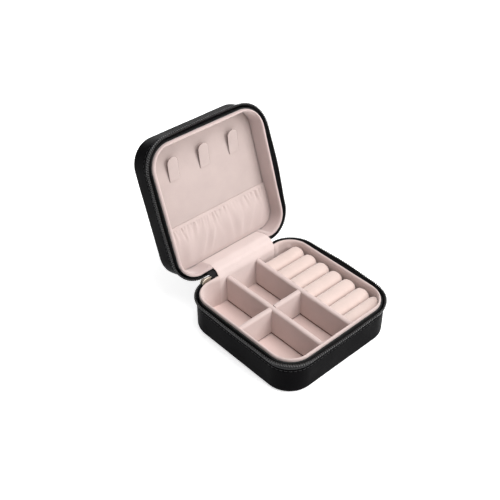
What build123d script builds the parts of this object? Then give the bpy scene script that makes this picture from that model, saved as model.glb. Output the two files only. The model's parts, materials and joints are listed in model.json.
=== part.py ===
from build123d import *
import math
import os

# Zip-round jewellery case, modelled with its lid standing open. Millimetres.
# Origin: centre of the underside. +X along the hinge, -Y the front, +Y the hinge side, +Z up.

# Driving dimensions
BODY_HALF = 47.5          # outside of the leather side walls, from the centre
BODY_R = 17.4             # corner radius of that outline in plan
RIM_Z = 26.9              # parting plane between base and lid
LID_DEPTH = 21.2          # parting plane to the lid's outer face
EDGE_R = 3.0              # rounded lower edge of the base and upper edge of the lid
LEATHER = 1.2             # leather thickness
BOARD = 1.5               # stiffening board thickness
BAND_Z = 20.5             # upper edge of the leather side band
HINGE_Y = 48.5            # hinge line, on the parting plane behind the back wall
OPEN_DEG = 108.4          # lid angle from closed in the modelled pose

# Rim: padded velvet lip, zipper tape flaring outwards, coil on top of it
COIL_OUT = 50.0           # outside of the coil at the front and sides
COIL_BACK = 48.35         # outside of the coil along the hinge side
COIL_T = 1.35             # coil thickness, in plan
COIL_R = 19.5             # corner radius of the coil's outside
COIL_TOP = 26.45
COIL_BOTTOM = 24.2
LIP_OUT = 46.35           # outside of the lip
LIP_BACK = 45.7           # the same along the hinge side
LIP_TOP = 26.7
WALL_IN = 43.5            # inner face of the velvet wall lining
WALL_R = 13.0             # its corner radius in plan

# The hinge stretch, where zipper and lip are left out of both rims
GAP_X0 = -25.2
GAP_X1 = 27.6
HINGE_X0 = -22.0
HINGE_X1 = 27.5
FOLD_STEPS = 12           # flats round the folded hinge strips

# Base inside
FLOOR_Z = 3.6             # top of the velvet floor pad
DIVIDER_TOP = 24.0
DIVIDER_T = 3.7
MIDDLE_X = -15.0          # divider that splits the left two thirds, along Y
CROSS_Y = 1.2             # divider across the left two thirds, along X
RING_X = 11.2             # divider beside the ring section, along Y
BED_TOP = 12.2            # foam bed under the ring rolls
ROLL_R = 5.65
ROLL_PITCH = 11.8
ROLL_FIRST_Y = 33.0
ROLL_Z = 17.9
ROLL_COUNT = 7

# Lid inside, as depths below the lid's rim
PANEL_W = 12.5            # face of the velvet panel
PANEL_T = 2.0
TAB_X = (-25.0, 0.0, 25.0)
TAB_ROOT = 17.2           # tab root and free end, measured up from the lid's middle
TAB_END = 33.3
TAB_WIDTH = 8.0
TAB_T = 0.8
TAB_LIFT_DEG = 6.0
HEM = -12.0               # pouch hem and bottom seam, measured the same way
POUCH_BOTTOM = -42.4

# Zip slider, at rest at the left end of the hinge
SLIDER_X = -30.2
SLIDER_LENGTH = 9.0
CORNER_X = -30.5          # centre of the corner that the coil runs round
CORNER_Y = 28.85
PIN_Y = 50.25             # pin that the pull tab hangs on
PIN_Z = 24.4


def prism(half, front, back, radius, z0, z1):
    """Upright block with rounded corners in plan, from y = front to y = back."""
    outline = RectangleRounded(2 * half, back - front, radius)
    return Pos(0, (front + back) / 2, z0) * extrude(outline, z1 - z0)


def square(half, radius, z0, z1):
    return prism(half, -half, half, radius, z0, z1)


def block(x0, x1, y0, y1, z0, z1):
    box = Box(x1 - x0, y1 - y0, z1 - z0)
    return Pos((x0 + x1) / 2, (y0 + y1) / 2, (z0 + z1) / 2) * box


def tube_x(radius, x0, x1, y, z):
    """Round bar along X."""
    return Pos((x0 + x1) / 2, y, z) * Rot(0, 90, 0) * Cylinder(radius, x1 - x0)


def strip_x(points, x0, x1):
    """Flat section drawn in Y and Z, drawn out along X."""
    face = Plane.YZ * make_face(Polyline(*points, close=True))
    return Pos(x0, 0, 0) * extrude(face, x1 - x0)


def lower_edges(solid):
    return solid.edges().group_by(Axis.Z)[0]


def upper_edges(solid):
    return solid.edges().group_by(Axis.Z)[-1]


def to_lid(shape):
    """Turns a shape made for the closed base rim over into the closed lid's place."""
    return mirror(shape, about=Plane.XY.offset(RIM_Z))


def open_lid(shape):
    """Swings a shape made for the closed lid to the modelled open angle."""
    return shape.rotate(Axis((0, HINGE_Y, RIM_Z), (1, 0, 0)), -OPEN_DEG)


def one(shape):
    """The single solid of a shape."""
    solids = shape.solids()
    assert len(solids) == 1, len(solids)
    return solids[0]


# Rim pieces, drawn once for the base and turned over for the lid

def hinge_gap(z0, z1):
    return block(GAP_X0, GAP_X1, 35, 60, z0, z1)


def zipper_tape():
    z0 = BAND_Z + 0.1
    z1 = COIL_BOTTOM - 0.05
    low = Pos(0, 0, z0) * RectangleRounded(2 * BODY_HALF, 2 * BODY_HALF, BODY_R)
    depth = 49.75 + 48.1
    high = Pos(0, (48.1 - 49.75) / 2, z1) * RectangleRounded(99.5, depth, 19.25)
    outside = loft([low.face(), high.face()])
    low_in = Pos(0, 0, z0) * RectangleRounded(93.0, 93.0, BODY_R - 1.0)
    depth_in = 48.75 + 47.1
    high_in = Pos(0, (47.1 - 48.75) / 2, z1) * RectangleRounded(97.5, depth_in, 18.25)
    inside = loft([low_in.face(), high_in.face()])
    return outside - inside - hinge_gap(10, 40)


def zipper_coil():
    z0 = COIL_BOTTOM
    outside = prism(COIL_OUT, -COIL_OUT, COIL_BACK, COIL_R, z0, COIL_TOP)
    outside = fillet(upper_edges(outside), 0.5)
    half = COIL_OUT - COIL_T
    inside = prism(half, -half, COIL_BACK - COIL_T, COIL_R - COIL_T, z0 - 1, COIL_TOP + 1)
    return outside - inside - hinge_gap(10, 40)


def wall_frame(z0, z1):
    outside = square(BODY_HALF - LEATHER - 0.1, 16.1, z0, z1)
    return outside - square(44.7, 14.2, z0 - 1, z1 + 1)


def wall_liner(z0):
    """Velvet wall lining with the padded lip that folds over the top of the frame."""
    wall = square(44.6, 14.1, z0, 25.5)
    lip = prism(LIP_OUT, -LIP_OUT, LIP_BACK, 15.85, 24.7, LIP_TOP)
    lip = fillet(upper_edges(lip), 1.2)
    solid = wall + lip
    solid = solid - square(WALL_IN, WALL_R, z0 - 1, 40)
    solid = fillet(inner_top_edges(solid), 0.8)
    return solid - block(HINGE_X0 - 0.1, GAP_X1, 35, 60, 22.5, 40)


def inner_top_edges(solid):
    """The edges of the lip's flat top that lie on the wall lining's inner face."""
    keep = []
    for edge in upper_edges(solid):
        middle = edge @ 0.5
        if max(abs(middle.X), abs(middle.Y)) < WALL_IN + 0.05:
            keep.append(edge)
    return keep


# Base

def base_side_leather():
    skin = square(BODY_HALF, BODY_R, 0.2, BAND_Z)
    skin = fillet(lower_edges(skin), EDGE_R)
    hollow = square(BODY_HALF - LEATHER, BODY_R - LEATHER, 1.3, BAND_Z + 5)
    hollow = fillet(lower_edges(hollow), 1.4)
    return skin - hollow - square(41.4, 11.3, -1, 3)


def base_bottom_leather():
    panel = square(41.2, 11.1, 0, 1.25)
    return fillet(lower_edges(panel), 0.4)


def base_board():
    board = square(46.2, 16.1, 1.3, 1.3 + BOARD)
    return fillet(lower_edges(board), 1.4)


def base_frame():
    return wall_frame(2.85, 24.6)


def base_floor_pad():
    return square(44.6, 14.1, 2.85, FLOOR_Z)


def base_liner():
    return wall_liner(FLOOR_Z + 0.05)


def inside_base(clear=0.1):
    return square(WALL_IN - clear, WALL_R - clear, 0, 60)


def divider_y(x):
    back = 42.55
    half = DIVIDER_T / 2
    board = block(x - half, x + half, -WALL_IN + 0.1, back, FLOOR_Z + 0.05, DIVIDER_TOP)
    long_edges = upper_edges(board).filter_by(Axis.Y)
    return fillet(long_edges, 1.0)


def middle_divider():
    slot = DIVIDER_T / 2 + 0.1
    board = divider_y(MIDDLE_X)
    return board - block(-30, 0, CROSS_Y - slot, CROSS_Y + slot, 13.9, 40)


def cross_divider():
    half = DIVIDER_T / 2
    x1 = RING_X - half - 0.1
    board = block(-WALL_IN + 0.1, x1, CROSS_Y - half, CROSS_Y + half, FLOOR_Z + 0.05, DIVIDER_TOP)
    board = fillet(upper_edges(board).filter_by(Axis.X), 1.0)
    slot = half + 0.1
    return board - block(MIDDLE_X - slot, MIDDLE_X + slot, -30, 30, 0, 14.0)


def ring_divider():
    return divider_y(RING_X)


def ring_bed():
    x0 = RING_X + DIVIDER_T / 2 + 0.1
    return block(x0, 60, -60, 42.55, FLOOR_Z + 0.05, BED_TOP) & inside_base()


def ring_roll(index):
    """Foam roll covered in velvet, along X, rounded over at its right end."""
    y = ROLL_FIRST_Y - index * ROLL_PITCH
    x0 = RING_X + DIVIDER_T / 2 + 0.1
    roll = tube_x(ROLL_R, x0, 42.6, y, ROLL_Z)
    end = roll.edges().group_by(Axis.X)[-1]
    return fillet(end, 3.5) & inside_base(0.2)


# Hinge: leather spine outside, velvet lining inside, both running from base to lid.
# Each is a flat section in Y and Z, drawn out along X.

def swing(point):
    """A point of the base's section, turned over into the lid and swung open with it."""
    y = point[0] - HINGE_Y
    z = RIM_Z - point[1]
    turn = math.radians(OPEN_DEG)
    return (HINGE_Y + y * math.cos(turn) + z * math.sin(turn),
            RIM_Z - y * math.sin(turn) + z * math.cos(turn))


def round_hinge(radius):
    """Points round the hinge line from the base's side to the open lid's side."""
    points = []
    for step in range(FOLD_STEPS + 1):
        turn = math.radians(180 - OPEN_DEG * step / FOLD_STEPS)
        points.append((HINGE_Y + radius * math.cos(turn), RIM_Z + radius * math.sin(turn)))
    return points


def hinge_strip(base_leg, lid_leg, radius_in, radius_out, x0, x1):
    """One strip: each leg is its inner and outer side, listed from its end up to the rim."""
    section = list(base_leg[0])
    section.extend(round_hinge(radius_out))
    section.extend(swing(point) for point in reversed(lid_leg[0]))
    section.extend(swing(point) for point in lid_leg[1])
    section.extend(reversed(round_hinge(radius_in)))
    section.extend(reversed(base_leg[1]))
    return strip_x(section, x0, x1)


def hinge_spine():
    z0 = BAND_Z + 0.1
    leg = ([(46.4, z0)], [(47.4, z0)])
    return hinge_strip(leg, leg, HINGE_Y - 47.4, HINGE_Y - 46.4, GAP_X0 + 0.1, HINGE_X1)


def lining_leg(front, z0, thick):
    """Lies on the wall lining at y = front, then leans back over the frame to the hinge line."""
    back = front + thick
    inner = [(front, z0), (front, 23.4), (front + 0.5, 25.2), (front + 1.3, 26.3)]
    outer = [(back, z0), (back, 23.3), (back + 0.5, 24.9), (back + 1.35, 26.1)]
    return inner, outer


def hinge_lining():
    front = 42.65
    base_leg = lining_leg(front, FLOOR_Z + 0.1, 0.8)
    lid_leg = lining_leg(front, RIM_Z - PANEL_W + 0.3, 0.8)
    return hinge_strip(base_leg, lid_leg, 3.0, 3.8, HINGE_X0, HINGE_X1)


def zipper_end_tape():
    """End of the zipper tape, folded across the valley between the two lips beside the hinge lining."""
    front, back = 45.85, 46.25
    z0 = COIL_BOTTOM + 0.55
    leg = ([(front, z0)], [(back, z0)])
    return hinge_strip(leg, leg, HINGE_Y - back, HINGE_Y - front, GAP_X0 + 0.1, HINGE_X0 - 0.1)


# Lid, drawn closed above the base and then swung open

def lid_leather():
    top = RIM_Z + LID_DEPTH
    skin = square(BODY_HALF, BODY_R, 2 * RIM_Z - BAND_Z, top)
    skin = fillet(upper_edges(skin), EDGE_R)
    hollow = square(BODY_HALF - LEATHER, BODY_R - LEATHER, RIM_Z, top - LEATHER)
    hollow = fillet(upper_edges(hollow), 1.4)
    return skin - hollow


def lid_foam():
    top = RIM_Z + LID_DEPTH - LEATHER - 0.05
    pad = square(46.2, 16.1, top - 1.5, top)
    return fillet(upper_edges(pad), 1.4)


def lid_board():
    top = RIM_Z + LID_DEPTH - LEATHER - 1.6
    return square(46.2, 16.1, top - BOARD, top)


def lid_frame():
    depth = LID_DEPTH - LEATHER - 1.65 - BOARD
    return to_lid(wall_frame(RIM_Z - depth, 24.6))


def lid_liner():
    depth = LID_DEPTH - LEATHER - 1.65 - BOARD
    return to_lid(wall_liner(RIM_Z - depth))


def lid_panel():
    z0 = RIM_Z + PANEL_W
    panel = square(WALL_IN - 0.1, WALL_R - 0.1, z0, z0 + PANEL_T)
    return fillet(lower_edges(panel), 0.6)


def lid_panel_foam():
    z0 = RIM_Z + PANEL_W + PANEL_T + 0.05
    return square(WALL_IN - 0.1, WALL_R - 0.1, z0, RIM_Z + LID_DEPTH - LEATHER - 1.65 - BOARD)


def necklace_tab(x):
    """Tongue fixed to the panel at its root, its round end standing off a little."""
    length = TAB_END - TAB_ROOT
    half = TAB_WIDTH / 2
    stem = Pos(0, -(length - half) / 2) * Rectangle(TAB_WIDTH, length - half)
    tongue = extrude(stem + Pos(0, -(length - half)) * Circle(half), TAB_T)
    lifted = tongue.rotate(Axis((0, 0, TAB_T), (1, 0, 0)), TAB_LIFT_DEG)
    return Pos(x, -TAB_ROOT, RIM_Z + PANEL_W - TAB_T) * lifted


def pouch():
    """Gathered pocket: a soft sheet that bellies out from the panel below its hem."""
    face = RIM_Z + PANEL_W
    y0 = -HEM
    y1 = -POUCH_BOTTOM
    span = y1 - y0
    near = [(y0, face - 1.3), (y0 + 0.15 * span, face - 1.9), (y0 + 0.5 * span, face - 2.9)]
    near.extend([(y0 + 0.85 * span, face - 2.5), (y1, face - 0.9)])
    far = [(y1, face - 0.1), (y0 + 0.83 * span, face - 1.6), (y0 + 0.5 * span, face - 2.0)]
    far.extend([(y0 + 0.15 * span, face - 1.1), (y0, face - 0.6)])
    sheet = strip_x(near + far, -60, 60)
    return sheet & square(WALL_IN - 0.2, WALL_R - 0.2, RIM_Z, RIM_Z + 30)


def pouch_elastic():
    face = RIM_Z + PANEL_W
    return block(-42.8, 42.8, -HEM + 0.2, -HEM + 3.2, face - 0.5, face - 0.1)


# Zip slider and pull

def slider_body():
    x0 = SLIDER_X - SLIDER_LENGTH / 2
    x1 = SLIDER_X + SLIDER_LENGTH / 2
    inner = block(x0, x1, 45.9, 47.0, 24.75, 27.7)
    round_corner = Pos(CORNER_X, CORNER_Y, 26) * Cylinder(18.05, 20)
    inner = inner & round_corner
    web = block(x0, x1, 45.9, 48.7, 26.55, 27.2)
    outer_points = [(48.45, 23.9), (49.05, 23.9), (49.05, 26.55), (48.75, 26.85), (48.45, 26.85)]
    outer = strip_x(outer_points, x0, x1)
    body = inner + web + outer
    trim = Pos(SLIDER_X, 47.5, 26) * extrude(RectangleRounded(SLIDER_LENGTH, 6, 1.4), 5, both=True)
    return body & trim


def slider_bridge():
    """Two lugs with a pin between them, on the slider's outer plate."""
    lugs = [(-1.9, -1.3), (1.3, 1.9)]
    bridge = tube_x(0.35, SLIDER_X - 1.9, SLIDER_X + 1.9, PIN_Y, PIN_Z)
    for near, far in lugs:
        bridge = bridge + block(SLIDER_X + near, SLIDER_X + far, 49.1, 50.75, 23.95, 24.9)
    return bridge


def pull_tab():
    """Flat pull hanging from the pin by its eye."""
    width = 2.4
    eye = tube_x(1.1, SLIDER_X - 1.2, SLIDER_X + 1.2, PIN_Y, PIN_Z)
    neck = block(SLIDER_X - 1.2, SLIDER_X + 1.2, PIN_Y - 0.45, PIN_Y + 0.45, PIN_Z - 4, PIN_Z)
    outline = RectangleRounded(2 * width, 13.5, 1.6) - Pos(0, -3.5) * SlotOverall(4.5, 1.6, rotation=90)
    leaf = extrude(Plane.XZ * outline, 0.45, both=True)
    leaf = Pos(SLIDER_X, PIN_Y, PIN_Z - 9.5) * leaf
    hole = tube_x(0.6, SLIDER_X - 3, SLIDER_X + 3, PIN_Y, PIN_Z)
    return eye + neck + leaf - hole


os.makedirs("parts", exist_ok=True)

nodes = {}
nodes["base_bottom_leather"] = base_bottom_leather()
nodes["base_side_leather"] = base_side_leather()
nodes["base_board"] = base_board()
nodes["base_frame"] = base_frame()
nodes["base_liner"] = base_liner()
nodes["base_floor_pad"] = base_floor_pad()
nodes["base_zipper_tape"] = zipper_tape()
nodes["base_zipper_coil"] = zipper_coil()
nodes["middle_divider"] = middle_divider()
nodes["cross_divider"] = cross_divider()
nodes["ring_divider"] = ring_divider()
nodes["ring_bed"] = ring_bed()
for number in range(ROLL_COUNT):
    nodes[f"ring_roll_{number + 1}"] = ring_roll(number)
nodes["hinge_spine"] = hinge_spine()
nodes["hinge_lining"] = hinge_lining()
nodes["zipper_end_tape"] = zipper_end_tape()
nodes["lid_leather"] = open_lid(lid_leather())
nodes["lid_foam"] = open_lid(lid_foam())
nodes["lid_board"] = open_lid(lid_board())
nodes["lid_frame"] = open_lid(lid_frame())
nodes["lid_liner"] = open_lid(lid_liner())
nodes["lid_panel"] = open_lid(lid_panel())
nodes["lid_panel_foam"] = open_lid(lid_panel_foam())
nodes["lid_pouch"] = open_lid(pouch())
nodes["pouch_elastic"] = open_lid(pouch_elastic())
nodes["lid_zipper_tape"] = open_lid(to_lid(zipper_tape()))
nodes["lid_zipper_coil"] = open_lid(to_lid(zipper_coil()))
for number, tab_x in enumerate(TAB_X):
    nodes[f"necklace_tab_{number + 1}"] = open_lid(necklace_tab(tab_x))
nodes["slider_body"] = slider_body()
nodes["slider_bridge"] = slider_bridge()
nodes["pull_tab"] = pull_tab()

for name, shape in nodes.items():
    export_step(one(shape), f"parts/{name}.step")
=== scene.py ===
import json
import math
import random

import bpy
import bmesh
import numpy as np
from mathutils import Matrix, Vector, noise


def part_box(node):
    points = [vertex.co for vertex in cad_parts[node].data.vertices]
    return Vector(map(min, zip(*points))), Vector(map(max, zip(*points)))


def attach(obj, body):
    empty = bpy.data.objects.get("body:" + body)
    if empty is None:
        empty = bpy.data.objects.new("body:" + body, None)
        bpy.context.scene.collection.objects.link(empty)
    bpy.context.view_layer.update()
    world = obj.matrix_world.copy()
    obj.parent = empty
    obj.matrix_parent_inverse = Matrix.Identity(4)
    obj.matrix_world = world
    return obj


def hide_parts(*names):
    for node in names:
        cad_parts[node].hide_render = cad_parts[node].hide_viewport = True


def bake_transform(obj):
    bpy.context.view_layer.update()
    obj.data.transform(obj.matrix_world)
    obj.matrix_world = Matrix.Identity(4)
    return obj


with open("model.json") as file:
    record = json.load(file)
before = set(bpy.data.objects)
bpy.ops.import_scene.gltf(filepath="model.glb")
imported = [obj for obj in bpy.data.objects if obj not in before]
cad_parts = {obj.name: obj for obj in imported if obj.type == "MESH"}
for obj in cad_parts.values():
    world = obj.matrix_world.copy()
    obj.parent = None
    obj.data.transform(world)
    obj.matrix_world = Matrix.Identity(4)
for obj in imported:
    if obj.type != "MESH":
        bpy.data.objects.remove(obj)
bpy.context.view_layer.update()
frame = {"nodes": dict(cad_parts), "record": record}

MM = 0.001

# ---------------------------------------------------------------- sizes, in mm, some read from the frame, the rest given
HINGE = next(j for j in frame["record"]["behaviour"]["joints"] if j["name"] == "lid_hinge")
HINGE_Y, RIM_Z = HINGE["pos_m"][1] / MM, HINGE["pos_m"][2] / MM
OPEN = math.radians(-HINGE["range_deg"][0])


def box_mm(node):
    lo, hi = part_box(node)
    return np.array(lo) / MM, np.array(hi) / MM


BODY_HALF = box_mm("base_side_leather")[1][0]
BAND_Z = box_mm("base_side_leather")[1][2]
COIL_HALF = box_mm("base_zipper_coil")[1][0]
COIL_Z = (box_mm("base_zipper_coil")[0][2], box_mm("base_zipper_coil")[1][2])
LIP_BACK = box_mm("base_liner")[1][1]
FLOOR_Z = box_mm("base_floor_pad")[1][2]
DIVIDER_Z = box_mm("ring_divider")[1][2]
LINING_X = (box_mm("hinge_lining")[0][0], box_mm("hinge_lining")[1][0])
SPINE_X = (box_mm("hinge_spine")[0][0], box_mm("hinge_spine")[1][0])
GAP_X = (SPINE_X[0] - 0.1, SPINE_X[1] + 0.1)
LIP_GAP = (LINING_X[0] - 0.05, SPINE_X[1] + 0.05)
WALL = 43.5               # inner face of the wall lining
WALL_C = 30.5             # its corner centres
LINING_T = 1.12           # its thickness
LIP_REACH = 2.8           # how far its lip rolls outward
SHELL_R = 17.4            # corner radius of the leather shell in plan
SKIN = 1.2                # thickness of the leather
RIM_C = 30.5              # corner centres of the zip round the rim
RIM_C_BACK = 28.85        # and of its two back corners, in y
STITCH_Z = BAND_Z - 1.62  # the row of stitches below the band's edge
LID_DEPTH = 21.2
PANEL_Z = RIM_Z - 12.5    # the lid panel's velvet, drawn as for the base
ROUNDER = (1.5, 3.0)      # what the sprung rim adds to its front corner radii, left and right
SWELL = (0.4, 1.0)        # how far its sides swell: left, front and back, then right
SWELL_SPAN = 27.5
ROLL_DOME = 4.6           # length of a ring roll's domed end
TAB_ROWS, TAB_COLS = 26, 13


# ---------------------------------------------------------------- mesh helpers
def lid_matrix():
    """From the base's rim to the open lid's: turned over in the parting plane, then swung open."""
    over = Matrix.Translation((0, 0, 2 * RIM_Z)) @ Matrix.Diagonal((1, 1, -1, 1))
    pivot = Matrix.Translation((0, HINGE_Y, RIM_Z))
    return pivot @ Matrix.Rotation(-OPEN, 4, "X") @ pivot.inverted() @ over


LID = np.array(lid_matrix())


def to_lid(points):
    return np.asarray(points, float) @ LID[:3, :3].T + LID[:3, 3]


def make(name, points, faces, material, lid=False, sharp=50):
    """A mesh object from points in mm, given as for the base; lid=True puts it in the open lid."""
    points = np.asarray(points, float)
    if lid:
        points = to_lid(points)
    mesh = bpy.data.meshes.new(name)
    mesh.from_pydata((points * MM).tolist(), [], [list(map(int, f)) for f in faces])
    bm = bmesh.new()
    bm.from_mesh(mesh)
    bmesh.ops.remove_doubles(bm, verts=bm.verts, dist=1e-7)
    bmesh.ops.recalc_face_normals(bm, faces=bm.faces)
    bm.to_mesh(mesh)
    bm.free()
    mesh.polygons.foreach_set("use_smooth", [True] * len(mesh.polygons))
    mesh.set_sharp_from_angle(angle=math.radians(sharp))
    mesh.materials.append(material)
    obj = bpy.data.objects.new(name, mesh)
    bpy.context.scene.collection.objects.link(obj)
    return obj


def joined(parts):
    """Several (points, faces) as one."""
    points, faces, count = [], [], 0
    for p, f in parts:
        points.append(np.asarray(p, float))
        faces.extend([[i + count for i in face] for face in f])
        count += len(p)
    return np.concatenate(points), faces


def grid_faces(rows, cols, wrap_rows=False, wrap_cols=False):
    faces = []
    for i in range(rows if wrap_rows else rows - 1):
        for j in range(cols if wrap_cols else cols - 1):
            a, b = i * cols + j, i * cols + (j + 1) % cols
            k = ((i + 1) % rows) * cols
            faces.append((a, b, k + (j + 1) % cols, k + j))
    return faces


def closed_sheet(front, back, rows, cols):
    """A thin sheet: two facing grids of points, joined round their border."""
    count = rows * cols
    faces = grid_faces(rows, cols)
    faces += [[v + count for v in face[::-1]] for face in faces]
    last = (rows - 1) * cols
    border = ([i * cols for i in range(rows)], [i * cols + cols - 1 for i in range(rows)],
              list(range(cols)), list(range(last, last + cols)))
    for line in border:
        for a, b in zip(line[:-1], line[1:]):
            faces.append((a, b, b + count, a + count))
    return np.concatenate([front, back]), faces


def rim_path(cx, cf, cb, r, gap=None, arc=20, side=34, back=None):
    """Points and outward normals round a rounded square, clockwise from the back, seen from above.
    cx, cf and cb place the corner centres; gap = (x0, x1) leaves that stretch of the back out;
    back lists the stations along the back of a closed path, from -cx to cx."""
    pts, nrm = [], []

    def run(p, q, n, count, last=False):
        for i in range(count + (1 if last else 0)):
            t = i / count
            pts.append((p[0] + (q[0] - p[0]) * t, p[1] + (q[1] - p[1]) * t))
            nrm.append(n)

    def turn(c, a0, count):
        for i in range(count):
            a = math.radians(a0 - 90 * i / count)
            nrm.append((math.cos(a), math.sin(a)))
            pts.append((c[0] + r * math.cos(a), c[1] + r * math.sin(a)))

    if back is None:
        short = 5 if gap else side // 2
        start, end = (gap[1], gap[0]) if gap else (0.0, 0.0)
        first = [start + (cx - start) * i / short for i in range(short)]
        second = [-cx + (end + cx) * i / short for i in range(short + (1 if gap else 0))]
    else:
        first, second = [x for x in back if 0 <= x < cx], [x for x in back if -cx <= x < 0]
    for x in first:
        pts.append((x, cb + r))
        nrm.append((0, 1))
    turn((cx, cb), 90, arc)
    run((cx + r, cb), (cx + r, cf), (1, 0), side)
    turn((cx, cf), 0, arc)
    run((cx, cf - r), (-cx, cf - r), (0, -1), side)
    turn((-cx, cf), -90, arc)
    run((-cx - r, cf), (-cx - r, cb), (-1, 0), side)
    turn((-cx, cb), 180, arc)
    for x in second:
        pts.append((x, cb + r))
        nrm.append((0, 1))
    return np.array(pts), np.array(nrm)


def sweep(path, profile, closed, ring=True, shape=None):
    """Section profile [(outward, z)] carried along a path. shape(i, point, d, z) may move a section."""
    pts, nrm = path
    prof = np.asarray(profile, float)
    rows = []
    for i in range(len(pts)):
        d, z = prof[:, 0].copy(), prof[:, 1].copy()
        if shape:
            d, z = shape(i, pts[i], d, z)
        rows.append(np.column_stack([pts[i][0] + nrm[i][0] * d, pts[i][1] + nrm[i][1] * d, z]))
    k = len(prof)
    faces = grid_faces(len(pts), k, wrap_rows=closed, wrap_cols=ring)
    if ring and not closed:
        faces.append(tuple(range(k)))
        faces.append(tuple(range((len(pts) - 1) * k, len(pts) * k))[::-1])
    return np.concatenate(rows), faces


def bow(x, y, n, r, scale=1.0):
    """How far out, in mm, the sprung rim lies at a point of a rounded outline with normal n and
    corner radius r: away from the hinge its corners are rounder than the shell's, and its sides
    swell a little."""
    ax, ay = abs(x), abs(y)
    grow = 0.0 if y > 0 else scale * ROUNDER[x > 0]
    cx, cy = RIM_C - grow, (RIM_C_BACK if y > 0 else RIM_C) - grow
    if grow and ax > cx and ay > cy:
        q, m = (ax - cx, ay - cy), (abs(n[0]), abs(n[1]))
        b = q[0] * m[0] + q[1] * m[1]
        c = q[0] ** 2 + q[1] ** 2 - (r + grow) ** 2
        return min(0.0, -b + math.sqrt(max(0.0, b * b - c)))
    push = 0.0 if y > 40 else scale * SWELL[x > 40]
    return push * (1 - (min(ax, ay, SWELL_SPAN) / SWELL_SPAN) ** 2) ** 2


def arc_points(cx, cz, r, a0, a1, steps):
    return [(cx + r * math.cos(math.radians(a0 + (a1 - a0) * i / steps)),
             cz + r * math.sin(math.radians(a0 + (a1 - a0) * i / steps))) for i in range(steps + 1)]


def wobble(x, y, z, size, seed=0.0):
    """Smooth noise from -1 to 1, with features of that size in mm."""
    return noise.noise(Vector((x / size + seed, y / size - seed, z / size + 2.3 * seed)))


def resample(polyline, step):
    """Evenly spaced points along a polyline of (a, b) points."""
    p = np.asarray(polyline, float)
    length = np.concatenate([[0], np.cumsum(np.linalg.norm(np.diff(p, axis=0), axis=1))])
    count = max(2, int(round(length[-1] / step)) + 1)
    s = np.linspace(0, length[-1], count)
    return np.column_stack([np.interp(s, length, p[:, 0]), np.interp(s, length, p[:, 1])])


def smooth_line(points, step=0.6, rounds=3):
    """Rounds the corners of a polyline (Chaikin), keeping its ends."""
    p = [tuple(q) for q in points]
    for _ in range(rounds):
        q = [p[0]]
        for a, b in zip(p[:-1], p[1:]):
            q.append((0.75 * a[0] + 0.25 * b[0], 0.75 * a[1] + 0.25 * b[1]))
            q.append((0.25 * a[0] + 0.75 * b[0], 0.25 * a[1] + 0.75 * b[1]))
        q.append(p[-1])
        p = q
    return resample(p, step)


# ---------------------------------------------------------------- materials
def nodes_of(name):
    mat = bpy.data.materials.new(name)
    mat.use_nodes = True
    tree = mat.node_tree
    return mat, tree, tree.nodes["Principled BSDF"]


def add(tree, kind, **inputs):
    node = tree.nodes.new(kind)
    for key, value in inputs.items():
        node.inputs[key.replace("_", " ")].default_value = value
    return node


def coords(tree, scale=1000.0):
    """Object coordinates in millimetres."""
    tex = tree.nodes.new("ShaderNodeTexCoord")
    mapping = tree.nodes.new("ShaderNodeMapping")
    mapping.inputs["Scale"].default_value = (scale, scale, scale)
    tree.links.new(tex.outputs["Object"], mapping.inputs["Vector"])
    return mapping.outputs["Vector"]


def ramp(tree, source, stops):
    node = tree.nodes.new("ShaderNodeValToRGB")
    items = node.color_ramp.elements
    while len(items) < len(stops):
        items.new(0.5)
    for item, (at, colour) in zip(items, stops):
        item.position = at
        item.color = (*colour, 1)
    tree.links.new(source, node.inputs["Fac"])
    return node.outputs["Color"]


def mul(colour, f):
    return tuple(c * f for c in colour)


def bumps(tree, bsdf, *layers):
    """Stacks bump layers, each a height, a strength and a distance in metres."""
    normal = None
    for height, strength, distance in layers:
        node = add(tree, "ShaderNodeBump", Strength=strength, Distance=distance)
        tree.links.new(height, node.inputs["Height"])
        if normal:
            tree.links.new(normal, node.inputs["Normal"])
        normal = node.outputs["Normal"]
    tree.links.new(normal, bsdf.inputs["Normal"])


def roughness(tree, bsdf, source, top, low, high):
    """Lets the roughness vary between low and high with a noise that runs from 0.3 to top."""
    span = add(tree, "ShaderNodeMapRange", From_Min=0.3, From_Max=top, To_Min=low, To_Max=high)
    tree.links.new(source, span.inputs["Value"])
    tree.links.new(span.outputs["Result"], bsdf.inputs["Roughness"])


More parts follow.
